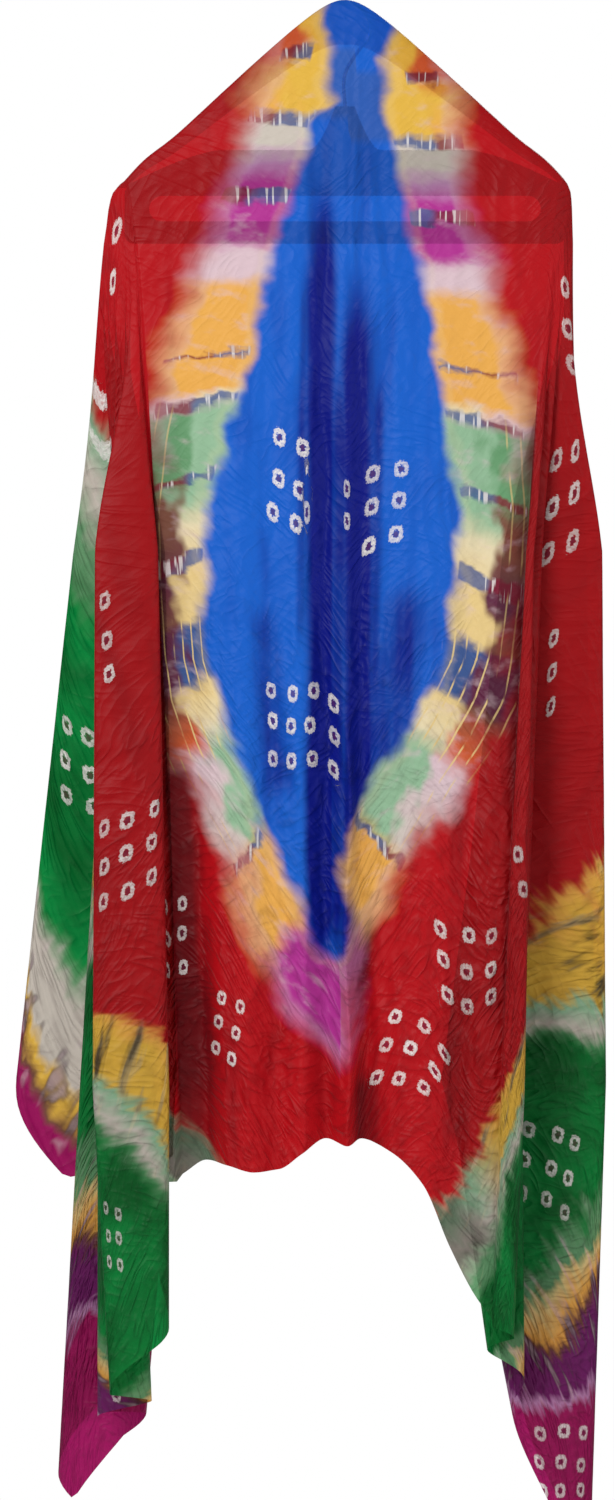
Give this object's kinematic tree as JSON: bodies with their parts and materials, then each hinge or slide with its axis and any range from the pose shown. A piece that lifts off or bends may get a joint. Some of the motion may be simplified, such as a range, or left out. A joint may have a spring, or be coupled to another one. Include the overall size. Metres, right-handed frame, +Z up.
{
  "type": "tie-dyed silk dupatta on clothes hanger",
  "caption": "Thin tie-dyed silk dupatta draped over a flat hanger, with a pointed crest over the hook, a gathered front panel and folded hanging ends.",
  "frame": {"origin": "the inner top of the hanger's hook, where a rail holds it", "axes": "+X along the hanger, to the right of someone who faces the cloth; +Y to the back, away from that person; +Z up"},
  "size_m": [0.5563, 0.1782, 1.5355],
  "materials": {
    "silk": "thin silk, tie-dyed in red, blue, green, orange and magenta bands",
    "hanger_plastic": "satin",
    "hook_wire": "satin"
  },
  "bodies": {
    "root": {"dupatta": "silk", "hanger_body": "hanger_plastic", "hanger_hook": "hook_wire"}
  },
  "joints": []
}
